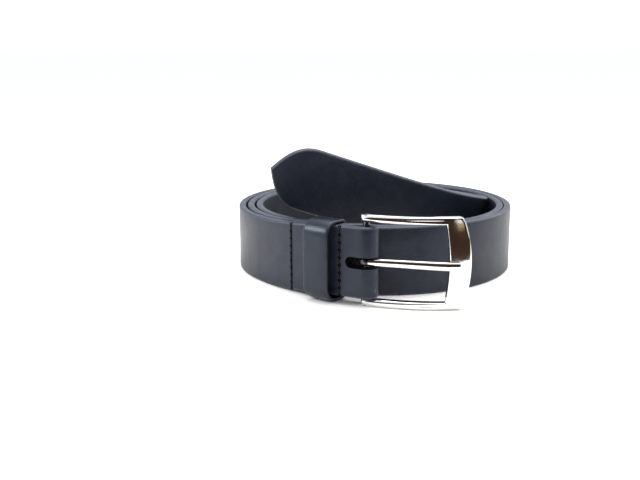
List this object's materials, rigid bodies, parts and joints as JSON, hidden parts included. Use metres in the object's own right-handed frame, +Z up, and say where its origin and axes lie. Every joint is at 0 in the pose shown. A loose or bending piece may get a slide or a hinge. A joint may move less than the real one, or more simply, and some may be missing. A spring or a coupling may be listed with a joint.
{
  "type": "belt",
  "caption": "Coiled dress belt: a leather strap folded and stitched round a buckle bar, with a fixed keeper loop, a bowed metal frame and a prong that both swing on the bar.",
  "frame": {"origin": "middle of the underside of the whole belt's box, on the floor the coil stands on", "axes": "+Z up, across the strap; the buckle faces -Y; +X from the keeper towards the buckle's end bar"},
  "size_m": [0.1532, 0.1796, 0.0703],
  "materials": {
    "strap_leather": "smooth black, satin, painted edges",
    "keeper_leather": "smooth black, satin",
    "thread": "waxed black thread",
    "buckle_metal": "polished nickel plate",
    "bar_metal": "bright drawn steel",
    "staple_wire": "galvanised wire"
  },
  "bodies": {
    "belt": {"strap": "strap_leather", "keeper_loop": "keeper_leather", "keeper_staple": "staple_wire", "stitch_row_near": "thread", "stitch_row_far": "thread"},
    "frame": {"buckle_frame": "buckle_metal", "buckle_bar": "bar_metal"},
    "prong": {"prong": "buckle_metal"}
  },
  "joints": [
    {"name": "frame_swing", "type": "hinge", "parent": "belt", "child": "frame", "pos_m": [-0.0088, -0.07674, 0.0217], "axis": [0, 0, -1], "range_deg": [-12, 35]},
    {"name": "prong_swing", "type": "hinge", "parent": "frame", "child": "prong", "pos_m": [-0.0088, -0.07674, 0.0217], "axis": [0, 0, -1], "range_deg": [0, 85]}
  ]
}
